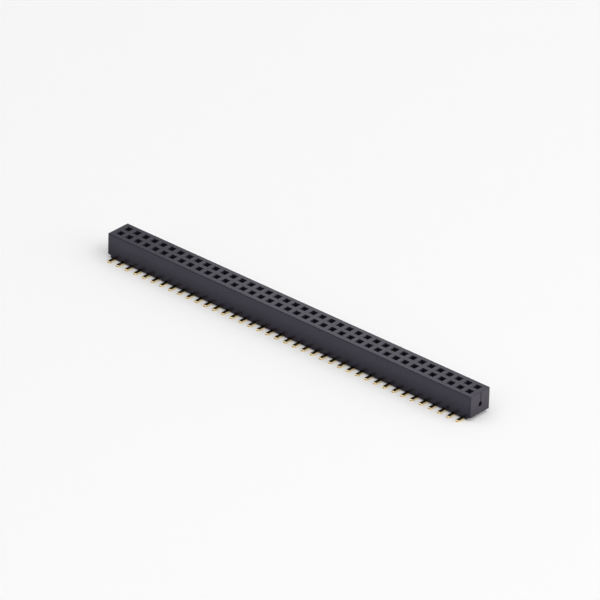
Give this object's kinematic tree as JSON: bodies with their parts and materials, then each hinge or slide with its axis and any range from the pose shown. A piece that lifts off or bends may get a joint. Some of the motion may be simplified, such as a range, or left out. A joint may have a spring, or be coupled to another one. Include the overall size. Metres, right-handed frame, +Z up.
{
  "type": "surface mount female pin header strip",
  "caption": "Low two-row surface-mount female header strip: black moulded housing with square sockets on top and flat gold tails along both long sides.",
  "frame": {"origin": "middle of the strip on the board plane, under the feet of the contacts", "axes": "+X along the strip, +Y across it from the front row to the rear row, +Z up from the board to the mating face"},
  "size_m": [0.0516, 0.0052, 0.003],
  "materials": {
    "housing": "fine matte moulded plastic, near black",
    "contacts": "thin gold plating on formed spring strip, satin"
  },
  "bodies": {
    "root": {"housing": "housing", "contacts_01": "contacts", "contacts_02": "contacts", "contacts_03": "contacts", "contacts_04": "contacts", "contacts_05": "contacts", "contacts_06": "contacts", "contacts_07": "contacts", "contacts_08": "contacts", "contacts_09": "contacts", "contacts_10": "contacts", "contacts_11": "contacts", "contacts_12": "contacts", "contacts_13": "contacts", "contacts_14": "contacts", "contacts_15": "contacts", "contacts_16": "contacts", "contacts_17": "contacts", "contacts_18": "contacts", "contacts_19": "contacts", "contacts_20": "contacts", "contacts_21": "contacts", "contacts_22": "contacts", "contacts_23": "contacts", "contacts_24": "contacts", "contacts_25": "contacts", "contacts_26": "contacts", "contacts_27": "contacts", "contacts_28": "contacts", "contacts_29": "contacts", "contacts_30": "contacts", "contacts_31": "contacts", "contacts_32": "contacts", "contacts_33": "contacts", "contacts_34": "contacts", "contacts_35": "contacts", "contacts_36": "contacts", "contacts_37": "contacts", "contacts_38": "contacts", "contacts_39": "contacts", "contacts_40": "contacts"}
  },
  "joints": []
}
